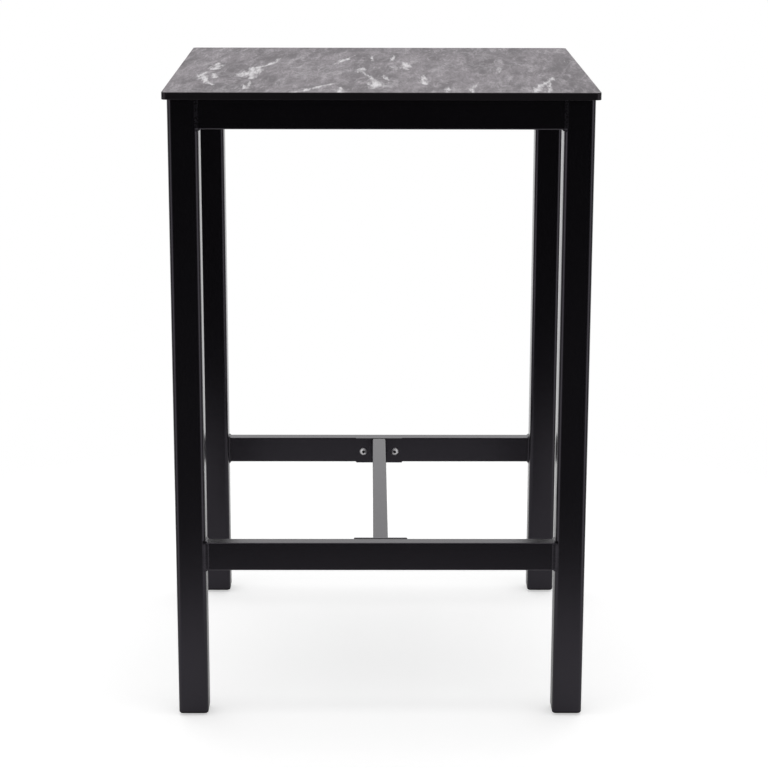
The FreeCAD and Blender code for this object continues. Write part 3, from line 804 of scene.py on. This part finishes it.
def add_plate_welds(material):
    """The cross rail is welded up both sides, the side aprons up their inner side."""
    plate_low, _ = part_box("cross_rail_flange_rear")
    side_low, side_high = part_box("apron_right")
    for end, y_side in (("front", -1), ("rear", 1)):
        for side, x_side in (("left", -1), ("right", 1)):
            side_weld(
                f"weld_cross_rail_{end}_{side}",
                (x_side * bar_high.x, y_side * plate_low.y, 0), (0, -y_side, 0), (x_side, 0, 0),
                bar_low.z, bar_high.z, material, seed=60 + 3 * y_side + x_side,
            )
            side_weld(
                f"weld_apron_plate_{side}_{end}",
                (x_side * side_low.x, y_side * side_high.y, 0), (0, -y_side, 0), (-x_side, 0, 0),
                side_low.z, side_high.z, material, seed=80 + 3 * y_side + x_side,
            )


# ---------------------------------------------------------------- glide studs

STUD_HEAD = 2.4 * MM
STUD_HEAD_BEVEL = 0.3 * MM
STUD_HEAD_EDGE = 0.2 * MM
THREAD_CREST = 5.0 * MM
THREAD_PITCH = 1.5 * MM
THREAD_DEEP = 0.9 * MM
THREAD_STEEP = 1.35
THREAD_ROOT = 0.12
THREAD_RUN_OUT = 1.2 * MM
THREAD_TURN = 24
RINGS_PER_PITCH = 6


def thread_radius(z, share, run_out):
    """The thread's radius at a height and a share of a turn; run_out is 0 at the stud's end."""
    phase = (z / THREAD_PITCH - share) % 1.0
    ridge = min(1.0, max(0.0, abs(phase * 2 - 1) * THREAD_STEEP - THREAD_ROOT))
    return THREAD_CREST - THREAD_DEEP * (1 - ridge * run_out)


def stud_rings(low, high):
    """The rings of a bevelled head and of the thread above it."""
    middle = (low + high) / 2
    head_radius = (high.x - low.x) / 2
    head_top = low.z + STUD_HEAD
    shares = [k / THREAD_TURN for k in range(THREAD_TURN)]
    rows = []
    for z, radius in (
        (low.z, head_radius - STUD_HEAD_BEVEL),
        (low.z + STUD_HEAD_BEVEL, head_radius),
        (head_top - STUD_HEAD_EDGE, head_radius),
        (head_top, head_radius - STUD_HEAD_BEVEL),
    ):
        rows.append((z, [radius] * THREAD_TURN))
    steps = round((high.z - head_top) / (THREAD_PITCH / RINGS_PER_PITCH))
    for step in range(steps + 1):
        z = head_top + (high.z - head_top) * step / steps
        run_out = min(1.0, (high.z - z) / THREAD_RUN_OUT)
        rows.append((z, [thread_radius(z, share, run_out) for share in shares]))
    rings = []
    for z, radii in rows:
        ring = []
        for share, radius in zip(shares, radii):
            angle = math.tau * share
            ring.append((middle.x + radius * math.cos(angle), middle.y + radius * math.sin(angle), z))
        rings.append(ring)
    return rings


def add_studs(material):
    """Each levelling stud again, with its thread cut."""
    for end in ("front", "rear"):
        for side in ("left", "right"):
            node = f"glide_stud_{end}_{side}"
            shape = bmesh.new()
            loft(shape, stud_rings(*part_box(node)))
            stud = add_piece(f"threaded_{node}", shape, f"glide_{end}_{side}", material)
            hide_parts(node)


# ---------------------------------------------------------------- camera, stage and light

CAMERA_PLACE = Vector((-0.0187, -3.992, 1.4986))
CAMERA_PITCH = math.radians(14.10)
CAMERA_YAW = 0.0065
CAMERA_ROLL = 0.0022
FOCAL_PIXELS = 2296.0
IMAGE_PIXELS = 768.0
SENSOR = 36.0


def add_camera():
    """The photo's view as fitted to the table's edges, with no lens shift."""
    data = bpy.data.cameras.new("camera")
    data.sensor_width = SENSOR
    data.lens = FOCAL_PIXELS * SENSOR / IMAGE_PIXELS
    camera = bpy.data.objects.new("camera", data)
    scene.collection.objects.link(camera)
    ahead = Vector((
        math.sin(CAMERA_YAW) * math.cos(CAMERA_PITCH),
        math.cos(CAMERA_YAW) * math.cos(CAMERA_PITCH),
        -math.sin(CAMERA_PITCH),
    ))
    level = Vector((math.cos(CAMERA_YAW), -math.sin(CAMERA_YAW), 0))
    above = level.cross(ahead)
    right = math.cos(CAMERA_ROLL) * level + math.sin(CAMERA_ROLL) * above
    up = -math.sin(CAMERA_ROLL) * level + math.cos(CAMERA_ROLL) * above
    turn = Matrix((right, up, -ahead)).transposed()
    camera.matrix_world = Matrix.Translation(CAMERA_PLACE) @ turn.to_4x4()
    scene.camera = camera


FLOOR_RADIUS = 1.50
FLOOR_CLEAR = 0.60
FLOOR_GONE = 0.98 * FLOOR_RADIUS
FLOOR_SIDES = 96
FLOOR_LIFT = 0.05
FLOOR_SEEN_LIFT = 0.45
FLOOR_COLOUR = (0.82, 0.82, 0.82)
WORLD_AMBIENT = 0.55
FRONT_DARK = 0.0
FRONT_LOW = 0.07
SIDE_PANEL = 0.95
SIDE_GAP = 0.12

# Where the studio's parts begin and end, by the height or the depth of a direction.
FRONT_FADE = (-0.30, -0.16)
PANEL_FADE = (-0.94, -0.78)
GAP_FADE = (-0.45, -0.20)
REAR_FADE = (0.20, 0.55)


def looking_rays(g):
    """The light path, and 1 for camera, glossy and transmission rays, the ones that look at things."""
    path = g.add("ShaderNodeLightPath")
    either = g.math("MAXIMUM", path.outputs["Is Camera Ray"], path.outputs["Is Glossy Ray"])
    return path, g.math("MAXIMUM", either, path.outputs["Is Transmission Ray"])


def floor_white():
    """Matt white, lifted a little for the rays that look at it, which fades out toward the rim."""
    g = Graph(bpy.data.materials.new("floor_white"))
    path, rays = looking_rays(g)
    lift = g.math("MULTIPLY", rays, FLOOR_LIFT)
    g.set(
        Base_Color=FLOOR_COLOUR,
        Roughness=1.0,
        Specular_IOR_Level=0.0,
        Emission_Color=(1, 1, 1),
        Emission_Strength=g.math("MULTIPLY_ADD", path.outputs["Is Camera Ray"], FLOOR_SEEN_LIFT, lift),
        Alpha=g.band(g.vector("LENGTH", g.place), FLOOR_CLEAR, FLOOR_GONE, 1.0, 0.0),
    )
    return g.owner


def add_floor():
    """A pale round floor that keeps the table's shadow and shows white where nothing shades it."""
    mesh = bpy.data.meshes.new("floor")
    shape = bmesh.new()
    bmesh.ops.create_circle(shape, cap_ends=True, segments=FLOOR_SIDES, radius=FLOOR_RADIUS)
    shape.to_mesh(mesh)
    shape.free()
    mesh.materials.append(floor_white())
    floor = bpy.data.objects.new("floor", mesh)
    scene.collection.objects.link(floor)
    # The floor stays under the lowest glide, so a glide that is screwed out still stands on it.
    for body, empty in frame["bodies"].items():
        if body.startswith("glide_"):
            under = floor.constraints.new("FLOOR")
            under.target = empty
            under.floor_location = "FLOOR_NEGATIVE_Z"


def add_world():
    """White for camera rays, soft light for the rest, and a studio for the glossy ones.

    The studio has a dark front, bright side panels with a dim gap behind them, and a white rear.
    """
    world = bpy.data.worlds.new("studio")
    scene.world = world
    g = Graph(world, "Background", "Generated")
    path, rays = looking_rays(g)
    _, depth, height = g.split(g.place)
    front = g.band(height, *FRONT_FADE, FRONT_LOW, FRONT_DARK)
    panel = g.band(depth, *PANEL_FADE, front, SIDE_PANEL)
    gap = g.band(depth, *GAP_FADE, 1.0, SIDE_GAP)
    rear = g.band(depth, *REAR_FADE)
    studio = g.math("MAXIMUM", g.math("MULTIPLY", panel, gap), rear)
    seen = g.blend(path.outputs["Is Glossy Ray"], 1.0, studio)
    g.set(Color=(1, 1, 1), Strength=g.blend(rays, WORLD_AMBIENT, seen))


def add_softbox(name, place, aim, wide, high, watts):
    """A rectangular area light, turned toward the place that it is aimed at."""
    data = bpy.data.lights.new(name, "AREA")
    data.shape = "RECTANGLE"
    data.size = wide
    data.size_y = high
    data.energy = watts
    lamp = bpy.data.objects.new(name, data)
    scene.collection.objects.link(lamp)
    lamp.location = place
    lamp.rotation_mode = "QUATERNION"
    lamp.rotation_quaternion = (Vector(aim) - Vector(place)).to_track_quat("-Z", "Y")


def add_lights():
    """One large softbox over the table."""
    add_softbox("softbox_above", place=(0, 0.2, 3.2), aim=(0, 0, 0.5), wide=2.4, high=2.4, watts=36)


# ---------------------------------------------------------------- the scene

finishes = dress_nodes()
bead_paint = weld_paint()
add_frame_welds(bead_paint)
add_plate_welds(bead_paint)
add_studs(finishes["zinc_steel"])
add_camera()
add_floor()
add_world()
add_lights()

scene.view_settings.view_transform = "Standard"
